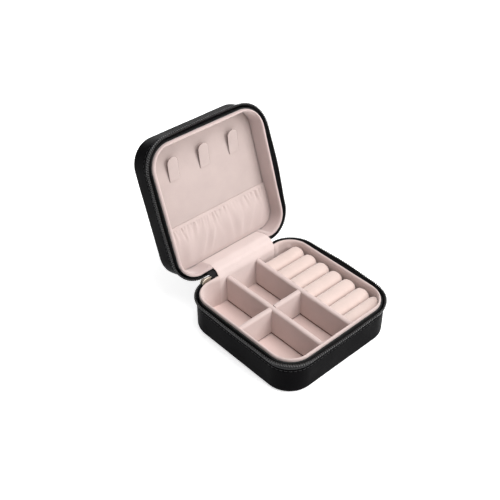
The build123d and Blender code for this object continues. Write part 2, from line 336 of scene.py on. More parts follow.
def leather(name, colour, grain=0.9, rough=0.44):
    """Fine pebbled leather: cells for the grain, slow noise for wear and pressure marks."""
    mat, tree, bsdf = nodes_of(name)
    link = tree.links.new
    vec = coords(tree)
    warp = add(tree, "ShaderNodeTexNoise", Scale=1.1, Detail=2.0)
    link(vec, warp.inputs["Vector"])
    shift = add(tree, "ShaderNodeVectorMath")
    shift.operation = "MULTIPLY_ADD"
    shift.inputs[1].default_value = (0.5, 0.5, 0.5)
    link(warp.outputs["Color"], shift.inputs[0])
    link(vec, shift.inputs[2])
    cells = add(tree, "ShaderNodeTexVoronoi", Scale=1.0 / grain)
    cells.feature = "DISTANCE_TO_EDGE"
    link(shift.outputs["Vector"], cells.inputs["Vector"])
    fine = add(tree, "ShaderNodeTexNoise", Scale=3.2, Detail=4.0)
    link(vec, fine.inputs["Vector"])
    slow = add(tree, "ShaderNodeTexNoise", Scale=0.055, Detail=3.0)
    link(vec, slow.inputs["Vector"])
    pebble = ramp(tree, cells.outputs["Distance"], [(0.0, (0, 0, 0)), (0.16, (1, 1, 1))])
    tint = ramp(tree, slow.outputs["Fac"], [(0.35, mul(colour, 0.86)), (0.7, mul(colour, 1.18))])
    link(tint, bsdf.inputs["Base Color"])
    roughness(tree, bsdf, slow.outputs["Fac"], 0.75, rough - 0.05, rough + 0.09)
    bumps(tree, bsdf, (pebble, 0.22, 0.00006), (fine.outputs["Fac"], 0.3, 0.00003),
          (slow.outputs["Fac"], 0.25, 0.0006))
    bsdf.inputs["Specular IOR Level"].default_value = 0.015
    return mat


def velvet(name, colour, dark=None, sheen=0.9):
    """Short-pile velvet: nap brushed in patches, with a fine fibre bump."""
    mat, tree, bsdf = nodes_of(name)
    link = tree.links.new
    vec = coords(tree)
    dark = dark or mul(colour, 0.95)
    patches = add(tree, "ShaderNodeTexNoise", Scale=0.09, Detail=3.0, Roughness=0.55)
    link(vec, patches.inputs["Vector"])
    stretch = tree.nodes.new("ShaderNodeMapping")
    stretch.inputs["Scale"].default_value = (1.0, 0.35, 0.35)
    link(vec, stretch.inputs["Vector"])
    fibres = add(tree, "ShaderNodeTexNoise", Scale=5.5, Detail=3.0, Roughness=0.7)
    link(stretch.outputs["Vector"], fibres.inputs["Vector"])
    grains = add(tree, "ShaderNodeTexNoise", Scale=1.6, Detail=2.0)
    link(vec, grains.inputs["Vector"])
    tint = ramp(tree, patches.outputs["Fac"], [(0.32, dark), (0.66, colour)])
    mix = tree.nodes.new("ShaderNodeMix")
    mix.data_type = "RGBA"
    mix.blend_type = "MULTIPLY"
    mix.inputs["Factor"].default_value = 0.35
    speck = ramp(tree, fibres.outputs["Fac"], [(0.3, (0.78, 0.78, 0.78)), (0.7, (1, 1, 1))])
    link(tint, mix.inputs["A"])
    link(speck, mix.inputs["B"])
    link(mix.outputs["Result"], bsdf.inputs["Base Color"])
    bsdf.inputs["Roughness"].default_value = 0.92
    bsdf.inputs["Specular IOR Level"].default_value = 0.15
    bsdf.inputs["Sheen Weight"].default_value = sheen
    bsdf.inputs["Sheen Roughness"].default_value = 0.45
    bsdf.inputs["Sheen Tint"].default_value = (1.0, 0.93, 0.9, 1)
    bumps(tree, bsdf, (fibres.outputs["Fac"], 0.5, 0.00005), (grains.outputs["Fac"], 0.35, 0.00012))
    return mat


def woven(name, colour, pitch=0.55, rough=0.85):
    """Close twill, for zipper tape and elastic: two crossing sets of ribs, coloured darker in their furrows
    as painted shade and lighter on their crests as painted highlight.
    """
    mat, tree, bsdf = nodes_of(name)
    link = tree.links.new
    vec = coords(tree)
    turned = tree.nodes.new("ShaderNodeMapping")
    turned.inputs["Rotation"].default_value = (0.6, 0.4, 0.785)
    link(vec, turned.inputs["Vector"])
    heights = []
    for source, axis in ((turned.outputs["Vector"], "X"), (turned.outputs["Vector"], "Y")):
        wave = add(tree, "ShaderNodeTexWave", Scale=0.5 / pitch, Distortion=0.6, Detail=1.0)
        wave.bands_direction = axis
        link(source, wave.inputs["Vector"])
        heights.append(wave.outputs["Fac"])
    both = tree.nodes.new("ShaderNodeMath")
    both.operation = "MAXIMUM"
    link(heights[0], both.inputs[0])
    link(heights[1], both.inputs[1])
    # colour follows the ribs' height: darker in the furrows as painted shade, lighter on the crests as
    # painted highlight
    tint = ramp(tree, both.outputs["Value"], [(0.1, mul(colour, 0.45)), (0.9, mul(colour, 1.3))])
    link(tint, bsdf.inputs["Base Color"])
    bsdf.inputs["Roughness"].default_value = rough
    bsdf.inputs["Specular IOR Level"].default_value = 0.25
    bumps(tree, bsdf, (both.outputs["Value"], 0.6, 0.00009))
    return mat


def nylon(name, colour, rough=0.38):
    """Smooth moulded or drawn thread, slightly uneven in tone."""
    mat, tree, bsdf = nodes_of(name)
    link = tree.links.new
    vec = coords(tree)
    grain = add(tree, "ShaderNodeTexNoise", Scale=2.5, Detail=3.0)
    link(vec, grain.inputs["Vector"])
    tint = ramp(tree, grain.outputs["Fac"], [(0.3, mul(colour, 0.75)), (0.7, mul(colour, 1.25))])
    link(tint, bsdf.inputs["Base Color"])
    roughness(tree, bsdf, grain.outputs["Fac"], 0.7, rough - 0.06, rough + 0.1)
    bumps(tree, bsdf, (grain.outputs["Fac"], 0.2, 0.00003))
    return mat


def metal(name, colour, rough=0.3):
    """Plated metal with faint brushing and handling marks."""
    mat, tree, bsdf = nodes_of(name)
    link = tree.links.new
    vec = coords(tree)
    long = tree.nodes.new("ShaderNodeMapping")
    long.inputs["Scale"].default_value = (0.25, 3.0, 3.0)
    link(vec, long.inputs["Vector"])
    brush = add(tree, "ShaderNodeTexNoise", Scale=4.0, Detail=3.0)
    link(long.outputs["Vector"], brush.inputs["Vector"])
    marks = add(tree, "ShaderNodeTexNoise", Scale=0.7, Detail=4.0)
    link(vec, marks.inputs["Vector"])
    tint = ramp(tree, marks.outputs["Fac"], [(0.35, mul(colour, 0.86)), (0.62, colour)])
    link(tint, bsdf.inputs["Base Color"])
    bsdf.inputs["Metallic"].default_value = 1.0
    roughness(tree, bsdf, brush.outputs["Fac"], 0.7, rough - 0.08, rough + 0.12)
    bumps(tree, bsdf, (brush.outputs["Fac"], 0.15, 0.00002))
    return mat


def board(name, colour):
    """Pressed pulp or foam: fine mottling, dull."""
    mat, tree, bsdf = nodes_of(name)
    link = tree.links.new
    vec = coords(tree)
    pulp = add(tree, "ShaderNodeTexNoise", Scale=1.2, Detail=5.0)
    link(vec, pulp.inputs["Vector"])
    tint = ramp(tree, pulp.outputs["Fac"], [(0.35, mul(colour, 0.8)), (0.65, mul(colour, 1.2))])
    link(tint, bsdf.inputs["Base Color"])
    bsdf.inputs["Roughness"].default_value = 0.9
    bumps(tree, bsdf, (pulp.outputs["Fac"], 0.3, 0.00005))
    return mat


PINK = (0.588, 0.472, 0.446)
# the floors' velvet is the walls' pink made lighter: painted light on the compartment floors
FLOOR_PINK_LIT = (0.78, 0.615, 0.575)
M_LEATHER = leather("black_leather", (0.0016, 0.0015, 0.0019))
M_UNDER = leather("underside_leather", (0.0045, 0.0045, 0.0048), grain=1.2, rough=0.52)
M_SPINE = leather("spine_leather", (0.0016, 0.0015, 0.0019), grain=0.7, rough=0.5)
M_VELVET = velvet("pink_velvet", PINK)
M_FLOOR_LIT = velvet("floor_velvet_painted_light", FLOOR_PINK_LIT)
# the lid panel's and tabs' velvet is the same pink made darker: painted shade
M_PANEL_SHADED = velvet("panel_velvet_painted_shade", (0.445, 0.363, 0.342))
# the pouch's velvet is the same pink made darker: painted shade
M_POUCH_SHADED = velvet("pouch_velvet", (0.505, 0.408, 0.386))
# the hinge lining's velvet is the same pink made lighter: painted light
M_HINGE_LIT = velvet("hinge_velvet_painted_light", (0.655, 0.542, 0.515))
# the lid walls' velvet is the same pink made darker: painted shade
M_LID_WALL_SHADED = velvet("lid_wall_velvet_painted_shade", (0.50, 0.395, 0.378))
# dark brown: painted shade in the strips under the dividers, and on the tabs' cut edges partly their own
# colour, partly painted shade
M_EDGE_SHADE = nylon("cut_edge_and_painted_shade", (0.10, 0.052, 0.040), rough=0.8)
# the rolls' and ring bed's velvet is the same pink made lighter: painted light on their tops
M_ROLL_LIT = velvet("roll_velvet", (0.64, 0.51, 0.465))
M_TAPE = woven("zipper_tape", (0.008, 0.008, 0.009))
M_COIL = nylon("zipper_coil", (0.026, 0.025, 0.025), rough=0.24)
M_THREAD = nylon("black_thread", (0.010, 0.010, 0.011), rough=0.6)
M_METAL = metal("champagne_metal", (0.56, 0.50, 0.42), rough=0.5)
M_BOARD = board("greyboard", (0.010, 0.010, 0.010))
M_FOAM = board("foam", (0.5, 0.5, 0.48))
M_ELASTIC = woven("elastic", (0.5, 0.42, 0.4), pitch=0.4)


# ---------------------------------------------------------------- shell: leather, tape, coil, lip
def shell_path(arc, side):
    c = BODY_HALF - SHELL_R
    return rim_path(c, -c, c, SHELL_R, arc=arc, side=side)


def leather_band(lid):
    """The leather skin of one half: side band, rounded edge, and the base's turned-in margin or the
    lid's whole padded top."""
    path = shell_path(arc=22, side=40)
    low = RIM_Z - LID_DEPTH if lid else 0.2
    edge = arc_points(-3.0, low + 3.0, 3.0, 0, -90, 9)
    sides = [(0, z) for z in np.linspace(BAND_Z - 2.8, low + 3.6, 9)]
    # the upper edge: rolled over, then a groove where the stitches pull it in
    top = [(-SKIN, BAND_Z - 0.9), (-1.15, BAND_Z - 0.3), (-0.85, BAND_Z), (-0.45, BAND_Z + 0.02),
           (-0.1, BAND_Z - 0.22), (0.02, BAND_Z - 0.6), (0.03, BAND_Z - 1.1), (-0.14, BAND_Z - 1.42),
           (-0.18, STITCH_Z), (-0.12, BAND_Z - 1.85), (0.02, BAND_Z - 2.2)]
    foot, bend = (low + 2.8, low + 2.6) if lid else (low + 2.6, low + 2.5)
    inside = [(-SKIN, z) for z in np.linspace(foot, BAND_Z - 2.0, 4)]
    inner_edge = arc_points(-2.6, bend, 1.4, -90, 0, 4)
    outer = top + sides + edge

    def shape(i, p, d, z):
        for j in range(len(d)):
            if -0.5 < d[j] and z[j] < BAND_Z - 0.5:
                d[j] += 0.09 * wobble(p[0], p[1], z[j], 14, 3.1) + 0.035 * wobble(p[0], p[1], z[j], 4, 1.7)
        z[:len(top)] += 0.08 * wobble(p[0], p[1], 0, 18, 5.0)
        return d, z

    if not lid:
        flat = [(-4.5, low), (-5.6, low + 0.05), (-6.1, low + 0.25), (-6.1, low + 1.05), (-4.5, low + 1.1)]
        return sweep(path, outer + flat + inner_edge + inside, True, shape=shape)
    # the lid's skin closes over its top, a little domed by the foam
    points, _ = sweep(path, outer, True, ring=False, shape=shape)
    n = len(path[0])
    rings = [points.reshape(n, len(outer), 3)]
    edge_ring = rings[0][:, -1]
    for t in np.linspace(0, 1, 14)[1:]:
        scale = 1 - t
        ring = np.column_stack([edge_ring[:, 0] * scale, edge_ring[:, 1] * scale, np.zeros(n)])
        rise = 1.1 * (1 - scale ** 2.2)
        for q in range(n):
            ring[q, 2] = low - rise + 0.10 * wobble(ring[q, 0], ring[q, 1], 0, 22, 8.0)
        rings.append(ring[:, None, :])
    grid = np.concatenate(rings, axis=1)
    cols = grid.shape[1]
    faces = grid_faces(n, cols, wrap_rows=True)
    shell = grid.reshape(-1, 3)
    lining = inside[::-1] + inner_edge[::-1]
    inner, inner_faces = sweep(path, lining, True, ring=False)
    offset = len(shell)
    faces += [[v + offset for v in f] for f in inner_faces]
    m = len(lining)
    for i in range(n):
        j = (i + 1) % n
        faces.append((i * cols, j * cols, offset + j * m, offset + i * m))
    faces.append(tuple(offset + i * m + m - 1 for i in range(n)))
    return np.concatenate([shell, inner]), faces


def stitches():
    """Lock stitches through the leather band, just under its upper edge."""
    pts, nrm = shell_path(arc=60, side=80)
    line = np.vstack([pts, pts[:1]])
    s = np.concatenate([[0], np.cumsum(np.linalg.norm(np.diff(line, axis=0), axis=1))])
    pitch = s[-1] / round(s[-1] / 2.9)
    parts = []
    # along the stitch: how far, how thick, how deep in the leather
    profile = ((0, 0.25, 0.3), (0.3, 0.9, 0.08), (1.1, 1.0, 0.0), (1.9, 0.9, 0.08), (2.2, 0.25, 0.3))
    ring = [(0.17 * math.cos(a), 0.17 * math.sin(a)) for a in np.linspace(0, 2 * math.pi, 7)[:-1]]
    for k in range(int(round(s[-1] / pitch))):
        rows = []
        for t, size, sink in profile:
            at = (k * pitch + t) % s[-1]
            x, y = np.interp(at, s, line[:, 0]), np.interp(at, s, line[:, 1])
            i = min(np.searchsorted(s, at), len(nrm) - 1)
            n = nrm[i]
            rows.append([(x + n[0] * (a * size - sink), y + n[1] * (a * size - sink), STITCH_Z + b * size)
                         for a, b in ring])
        faces = grid_faces(5, 6, wrap_cols=True) + [tuple(range(6)), tuple(range(24, 30))[::-1]]
        parts.append((np.array(rows).reshape(-1, 3), faces))
    return joined(parts)


def tape():
    """Zipper tape from behind the leather's edge, flaring out to the coil, with a thin edge up in it."""
    low_pts, low_n = rim_path(30.1, -30.1, 30.1, SHELL_R, gap=GAP_X)
    high_pts, high_n = rim_path(RIM_C, -RIM_C, RIM_C_BACK, COIL_HALF - RIM_C, gap=GAP_X)
    # outward, share of the way from the leather's line to the coil's, and height
    rows = [(-1.0, 0.0, BAND_Z - 0.3), (-0.25, 0.0, BAND_Z - 0.2), (-0.12, 0.12, BAND_Z + 0.5),
            (-0.25, 0.5, BAND_Z + 1.8), (-0.35, 0.85, BAND_Z + 3.0), (-0.35, 1.0, COIL_Z[0] - 0.05),
            (-0.55, 1.0, COIL_Z[0] + 0.2), (-0.60, 1.0, COIL_Z[0] + 1.5), (-0.78, 1.0, COIL_Z[0] + 1.5),
            (-0.82, 1.0, COIL_Z[0] + 0.2), (-1.15, 1.0, COIL_Z[0] - 0.05), (-1.1, 0.85, BAND_Z + 2.8),
            (-1.05, 0.5, BAND_Z + 1.8), (-1.05, 0.12, BAND_Z + 0.5)]
    out = []
    for i in range(len(low_pts)):
        for d, t, z in rows:
            p = low_pts[i] * (1 - t) + high_pts[i] * t
            n = low_n[i] * (1 - t) + high_n[i] * t
            w = 0.05 * wobble(p[0], p[1], z, 6, 2.0) + bow(p[0], p[1], n, 18.8) * t ** 1.3
            out.append((p[0] + n[0] * (d + w), p[1] + n[1] * (d + w), z))
    k = len(rows)
    faces = grid_faces(len(low_pts), k, wrap_cols=True)
    faces += [tuple(range(k)), tuple(range((len(low_pts) - 1) * k, len(low_pts) * k))[::-1]]
    return np.array(out), faces


def coil(lid):
    """One half of the coil zip: a flattened helix of nylon wire round the tape's edge."""
    thick, pitch = 1.35, 1.5
    r = COIL_HALF - RIM_C - thick / 2
    pts, nrm = rim_path(RIM_C, -RIM_C, RIM_C_BACK, r, gap=GAP_X, arc=60, side=60)
    s = np.concatenate([[0], np.cumsum(np.linalg.norm(np.diff(pts, axis=0), axis=1))])
    turns = int(round((s[-1] - 1.0) / pitch))
    around, sides, wire = 12, 6, 0.34
    half_r, half_z = thick / 2 - wire - 0.02, (COIL_Z[1] - COIL_Z[0]) / 2 - wire - 0.02
    z0 = (COIL_Z[0] + COIL_Z[1]) / 2
    t = np.arange(turns * around + 1) / around
    at = 0.5 + t * (s[-1] - 1.0) / turns
    x, y = np.interp(at, s, pts[:, 0]), np.interp(at, s, pts[:, 1])
    nx, ny = np.interp(at, s, nrm[:, 0]), np.interp(at, s, nrm[:, 1])
    length = np.hypot(nx, ny)
    nx, ny = nx / length, ny / length
    out = np.array([bow(a, b, (c, d), r) for a, b, c, d in zip(x, y, nx, ny)])
    x, y = x + nx * out, y + ny * out
    phase = 2 * math.pi * t + (math.pi if lid else 0)
    c, si = np.cos(phase), np.sin(phase)
    a = half_r * np.sign(c) * np.abs(c) ** 0.7
    b = half_z * np.sign(si) * np.abs(si) ** 0.8
    centre = np.column_stack([x + nx * a, y + ny * a, z0 + b])
    tangent = np.gradient(centre, axis=0)
    tangent /= np.linalg.norm(tangent, axis=1)[:, None]
    along = np.column_stack([-ny, nx, np.zeros(len(t))])
    side_a = np.cross(tangent, along)
    side_a /= np.linalg.norm(side_a, axis=1)[:, None]
    side_b = np.cross(tangent, side_a)
    rows = []
    for q in range(sides):
        ang = 2 * math.pi * q / sides
        rows.append(centre + wire * (math.cos(ang) * side_a + math.sin(ang) * side_b))
    points = np.stack(rows, axis=1).reshape(-1, 3)
    faces = grid_faces(len(t), sides, wrap_cols=True)
    faces += [tuple(range(sides)), tuple(range((len(t) - 1) * sides, len(t) * sides))[::-1]]
    return points, faces


def ease(t):
    t = min(max(t, 0.0), 1.0)
    return t * t * (3 - 2 * t)


def liner(lid):
    """Velvet wall with its lip rolled over the top. Between the hinge ends it stops short, behind the
    hinge lining, and beside them it comes forward to meet that lining."""
    foot = FLOOR_Z - 0.4 if not lid else PANEL_Z - 2.6
    left, right = LIP_GAP
    back = [-WALL_C, -29, -27.5, -26, -25, -24, -23.2, -22.6, left - 0.15, left, left + 0.02, -21, -17, -12,
            -6, 0, 6, 12, 18, 23, 26, right - 0.02, right, right + 0.15, 28.1, 28.7, 29.5]
    path = rim_path(WALL_C, -WALL_C, WALL_C, WALL - WALL_C, arc=20, side=44, back=back)
    inner = [(0, z) for z in np.linspace(foot, 22.4, 9)]
    lip = [(-0.02, 23.4), (-0.05, 24.3), (0.0, 25.1), (0.16, 25.8), (0.5, 26.35), (1.0, 26.66),
           (1.55, 26.66), (2.1, 26.42), (2.55, 25.95), (LIP_REACH, 25.35), (2.75, 24.75)]
    narrow = 0.8 if lid else 0.62
    under = [(1.15, 24.6), (LINING_T, 20.0), (LINING_T, foot)]
    profile = inner + lip + under
    k0, k1 = len(inner), len(inner) + len(lip)

    def shape(i, p, d, z):
        x, y = p
        at_back = y > WALL - 0.01
        hidden = at_back and left + 0.01 < x < right - 0.01
        crease = math.hypot(x - 38.5, y - 40.8) if not lid else 99.0
        for j in range(k0):
            d[j] += 0.10 * wobble(x, y, z[j], 11, 6.0)
            if crease < 4.0 and z[j] > 15:
                d[j] -= 0.75 * math.exp(-(crease / 1.3) ** 2) * (z[j] - 15) / 8
        if hidden:
            z[k0:k1 + 1] = 22.4 + (z[k0:k1 + 1] - 22.4) * 0.02
            d[k0:k1] = np.clip(d[k0:k1], 0.0, 1.1)
            return d, z
        for j in range(k0, k1):
            swell = 0.16 * wobble(x, y, 0, 13, 9.0) + 0.07 * wobble(x, y, z[j], 4, 4.4)
            d[j] += swell if d[j] < 1.6 else -0.5 * swell
            z[j] += 0.09 * wobble(x, y, 0, 9, 2.2) * (z[j] > 26)
            if d[j] > 0.3:
                drawn_in = min(0.0, bow(x, y, path[1][i], WALL - WALL_C, 0.7)) * min(1.0, d[j] / 2.2)
                d[j] += drawn_in - 0.3 * (d[j] / LIP_REACH) * (y < 44)
        over = d > LINING_T
        at_back_share = (LIP_BACK - WALL - LINING_T) / (LIP_REACH - LINING_T)
        d[over] = LINING_T + (d[over] - LINING_T) * (at_back_share if at_back else narrow)
        if at_back:
            gap = min(abs(x - left), abs(x - right))
            ahead = 0.82 * (1 - ease(gap / 6.0))
            d[:k0] -= ahead
            d[k0:k0 + 6] -= ahead * np.linspace(1, 0.1, 6)
        return d, z

    return sweep(path, profile, True, shape=shape)


def pad_plate(half, r, z_face, z_back, crown, up, edge=0.7, rings=16, seed=1.0, noise_mm=0.06):
    """A padded, velvet-covered plate with rounded edges. up = +1 faces up, -1 faces down."""
    pts, nrm = rim_path(half - r, -(half - r), half - r, r, arc=14, side=26)
    n = len(pts)
    rows = [np.column_stack([pts[:, 0], pts[:, 1], np.full(n, z_back)])]
    for a in np.linspace(0, 90, 5):
        d = -edge + edge * math.cos(math.radians(a))
        z = z_face - up * edge + up * edge * math.sin(math.radians(a))
        rows.append(np.column_stack([pts[:, 0] + nrm[:, 0] * d, pts[:, 1] + nrm[:, 1] * d, np.full(n, z)]))
    rim = rows[-1]
    for t in np.linspace(0, 1, rings + 1)[1:]:
        ring = rim.copy()
        ring[:, :2] *= (1 - t)
        dist = 1 - (1 - t) ** 2.5
        for q in range(n):
            rough = noise_mm * wobble(ring[q, 0], ring[q, 1], 0, 12, seed)
            ring[q, 2] = z_face + up * (crown + rough) * dist
        rows.append(ring)
    grid = np.stack(rows, axis=1)
    cols = grid.shape[1]
    faces = grid_faces(n, cols, wrap_rows=True)
    faces.append(tuple(i * cols for i in range(n)))
    return grid.reshape(-1, 3), faces


# ---------------------------------------------------------------- base interior
def divider(x_mid, y0, y1, z0, z1, thick, along_y=True, seed=0.0, bend=0.25):
    """Velvet-wrapped board on edge: rounded top and lower corners, slightly bowed."""
    half = thick / 2
    sec = [(half, z) for z in np.linspace(z0 + 0.7, z1 - 1.6, 7)]
    sec += arc_points(half - 1.5, z1 - 1.5, 1.5, 0, 90, 5)
    sec += arc_points(-half + 1.5, z1 - 1.5, 1.5, 90, 180, 5)
    sec += [(-half, z) for z in np.linspace(z1 - 1.6, z0 + 0.7, 7)]
    sec += arc_points(-half + 0.6, z0 + 0.6, 0.6, 180, 270, 3)
    sec += arc_points(half - 0.6, z0 + 0.6, 0.6, 270, 360, 3)
    count = max(8, int((y1 - y0) / 1.6))
    rows = []
    for i in range(count + 1):
        t = i / count
        y = y0 + (y1 - y0) * t
        end = min(t, 1 - t) * (y1 - y0)
        tuck = 1 - 0.12 * max(0.0, 1 - end / 0.8)
        for u, z in sec:
            off = bend * math.sin(math.pi * t) * (z - z0) / (z1 - z0)
            w = 0.10 * wobble(u * 2, y, z, 9, seed) + 0.05 * wobble(u, y, z, 3, seed + 3)
            dz = 0.14 * wobble(0, y, 0, 10, seed + 7) * (z > z1 - 2)
            uu = (u + math.copysign(w, u)) * tuck + off
            rows.append((x_mid + uu, y, z + dz) if along_y else (y, x_mid + uu, z + dz))
    k = len(sec)
    faces = grid_faces(count + 1, k, wrap_cols=True)
    faces += [tuple(range(k)), tuple(range(count * k, (count + 1) * k))[::-1]]
    return np.array(rows), faces


def ring_roll(index, y, z, x0, x1, half_w, half_h):
    """Foam roll in velvet: squarish section, domed at its right end."""
    around, rows = 36, []
    straight = x1 - x0 - ROLL_DOME
    stations = np.concatenate([np.linspace(0, straight, 20),
                               straight + ROLL_DOME * np.sin(np.linspace(0, math.pi / 2, 12))[1:]])
    for s in stations:
        e = max(0.0, (s - straight) / ROLL_DOME)
        f = (1 - e ** 2.6) ** (1 / 2.6) if e < 1 else 0.0
        f = max(f, 0.02)
        tall = 0.25 + 0.75 * f if e > 0 else 1.0
        for q in range(around):
            a = 2 * math.pi * q / around
            c, sn = math.cos(a), math.sin(a)
            u = half_w * math.copysign(abs(c) ** 0.82, c)
            v = half_h * math.copysign(abs(sn) ** 0.86, sn)
            side, top = y + 5 * c, 5 * sn
            puff = 1 + 0.012 * wobble(s, side, top, 7, index * 1.3)
            puff += 0.008 * wobble(s, side, top, 2.6, index + 5.0)
            rows.append((x0 + s, y + u * f * puff, z + v * tall * puff))
    k = around
    n = len(stations)
    faces = grid_faces(n, k, wrap_cols=True)
    faces += [tuple(range(k)), tuple(range((n - 1) * k, n * k))[::-1]]
    return np.array(rows), faces


def clip_to_wall(points, gap=0.35):
    """Pulls points back inside the wall lining's rounded outline."""
    half, r = WALL - gap, WALL - WALL_C - gap
    out = np.array(points, float)
    for p in out:
        x, y = p[0], p[1]
        ax, ay = abs(x), abs(y)
        if ax > WALL_C and ay > WALL_C:
            d = math.hypot(ax - WALL_C, ay - WALL_C)
            if d > r:
                ax, ay = WALL_C + (ax - WALL_C) * r / d, WALL_C + (ay - WALL_C) * r / d
        ax, ay = min(ax, half), min(ay, half)
        p[0], p[1] = math.copysign(ax, x), math.copysign(ay, y)
    return out


# ---------------------------------------------------------------- hinge
def hinge_section(kind):
    """Section of a hinge strip in (y, z): one side of its middle line, from the base to the lid."""
    def swing(p):
        y, z = p[0] - HINGE_Y, RIM_Z - p[1]
        c, s = math.cos(OPEN), math.sin(OPEN)
        return HINGE_Y + y * c + z * s, RIM_Z - y * s + z * c

    def fold(radius, lead=0.0):
        out = []
        for step in range(13):
            a = math.pi - lead - (OPEN - 2 * lead) * step / 12
            out.append((HINGE_Y + radius * math.cos(a), RIM_Z + radius * math.sin(a)))
        return out

    if kind == "spine":
        leg = [(46.9, BAND_Z + 0.2), (46.9, 24.0)]
        lid_leg, bend = leg, fold(1.6)
    elif kind == "lining":
        leg = [(43.05, FLOOR_Z + 0.1), (43.05, 23.6), (43.45, 25.2), (44.25, 26.6)]
        lid_leg, bend = [(43.05, PANEL_Z + 0.4)] + leg[1:], fold(3.4, 0.34)
    else:
        leg = [(46.05, 24.8), (46.05, 25.8)]
        lid_leg, bend = leg, fold(2.45)
    line = list(leg) + bend + [swing(p) for p in reversed(lid_leg)]
    return smooth_line(line, step=0.55, rounds=3)


def hinge_strip(kind, x0, x1, thick, seed):
    line = hinge_section(kind)
    tangent = np.gradient(line, axis=0)
    tangent /= np.linalg.norm(tangent, axis=1)[:, None]
    normal = np.column_stack([-tangent[:, 1], tangent[:, 0]])
    xs = np.linspace(x0, x1, max(6, int((x1 - x0) / 1.2)))
    n, m = len(line), len(xs)
    sides = []
    for side in (1, -1):
        rows = []
        for i in range(n):
            for j, x in enumerate(xs):
                edge = min(j, m - 1 - j)
                half = thick / 2 * (0.55 if edge == 0 else 1.0)
                w = 0.07 * wobble(x, line[i][0], line[i][1], 9, seed)
                p = line[i] + normal[i] * (side * half + w)
                rows.append((x, p[0], p[1]))
        sides.append(np.array(rows))
    return closed_sheet(*sides, n, m)


# ---------------------------------------------------------------- slider
def slider_slab(x0, x1, y0, y1, z0, top, soft=0.25):
    """A plate of the slider, bent to run round the corner; top(u) is its upper edge, u from -1 to 1."""
    stations = 19
    rows = []
    for i in range(stations):
        u = -1 + 2 * i / (stations - 1)
        x = (x0 + x1) / 2 + u * (x1 - x0) / 2
        over = max(0.0, -RIM_C - x)
        low = z0 + soft * abs(u) ** 6
        high = max(top(u), low + 0.1)
        c = min(soft, 0.45 * (y1 - y0), 0.45 * (high - low)) * (1.0 if i not in (0, stations - 1) else 1.4)
        sec = [(y0 + c, low), (y1 - c, low), (y1, low + c), (y1, high - c),
               (y1 - c, high), (y0 + c, high), (y0, high - c), (y0, low + c)]
        for y, z in sec:
            reach = y - RIM_C_BACK
            rows.append((x, RIM_C_BACK + math.sqrt(reach ** 2 - over ** 2), z))
    faces = grid_faces(stations, 8, wrap_cols=True)
    faces += [tuple(range(8)), tuple(range((stations - 1) * 8, stations * 8))[::-1]]
    return np.array(rows), faces


def slider_mesh():
    """Leaf-shaped inner plate, web between the coils' ends, and outer plate."""
    lo, hi = box_mm("slider_body")
    x0, x1 = lo[0], hi[0]

    def leaf(u):
        return 26.75 + 2.05 * max(0.0, 1 - abs(u) ** 2.2) ** 0.75

    inner = slider_slab(x0, x1 + 0.5, 45.95, 46.85, 24.8, leaf)
    web = slider_slab(x0 + 1.2, x1 - 1.0, 46.6, 48.7, 26.55, lambda u: 27.2)
    outer = slider_slab(x0 + 0.3, x1 - 0.3, 48.45, 49.05, 23.9, lambda u: 27.1 - 0.5 * abs(u) ** 3)
    return joined([inner, web, outer])


# ---------------------------------------------------------------- lid interior
def height_sheet(xs, ys, height, thick, inside=None):
    """A closed thin sheet over a grid in the closed lid's plane. height(x, y) is how far its outer
    face stands off the panel; the grid is given as for the base, so z falls with depth."""
    m, n = len(xs), len(ys)
    top, low = [], []
    for y in ys:
        for x in xs:
            px, py = (x, y) if inside is None else inside(x, y)
            h = height(px, py)
            z = PANEL_Z + h
            top.append((px, py, z))
            low.append((px, py, max(z - thick, PANEL_Z + 0.03)))
    return closed_sheet(top, low, n, m)


# the pouch's mouth and its seam by the hinge, drawn as in the closed lid
HEM_Y, SEAM_Y = 12.0, 42.4


def pouch_inside(x, y):
    """Keeps the pouch inside the panel's rounded corners."""
    c, r = WALL_C, 12.6
    half = WALL - 0.3
    if y > c:
        reach = c + math.sqrt(max(0.0, r * r - (y - c) ** 2))
        return x * min(1.0, reach / half), y
    return x, y


def gathers():
    """Puckers under the hem: place, slant, length, width and depth of each, in mm."""
    dice = random.Random(12)
    out, x = [], -41.5
    while x < 41.5:
        strong = 1.0 if x < 6 else (0.55 if x < 22 else 0.85)
        out.append((x, dice.uniform(-0.22, 0.22), dice.uniform(3.0, 10.5), dice.uniform(0.42, 0.85),
                    strong * dice.uniform(0.35, 1.0)))
        x += dice.uniform(1.5, 3.3)
    return out


def soft_folds():
    """Broad folds lower down: place, slant, width and depth of each, in mm."""
    dice = random.Random(4)
    return [(-37 + 10.5 * k + dice.uniform(-2, 2), dice.uniform(-0.55, 0.25), dice.uniform(1.6, 3.0),
             dice.uniform(0.35, 0.75)) for k in range(8)]


GATHERS, FOLDS = gathers(), soft_folds()


def bump(off, width):
    return math.exp(-(off / width) ** 2)


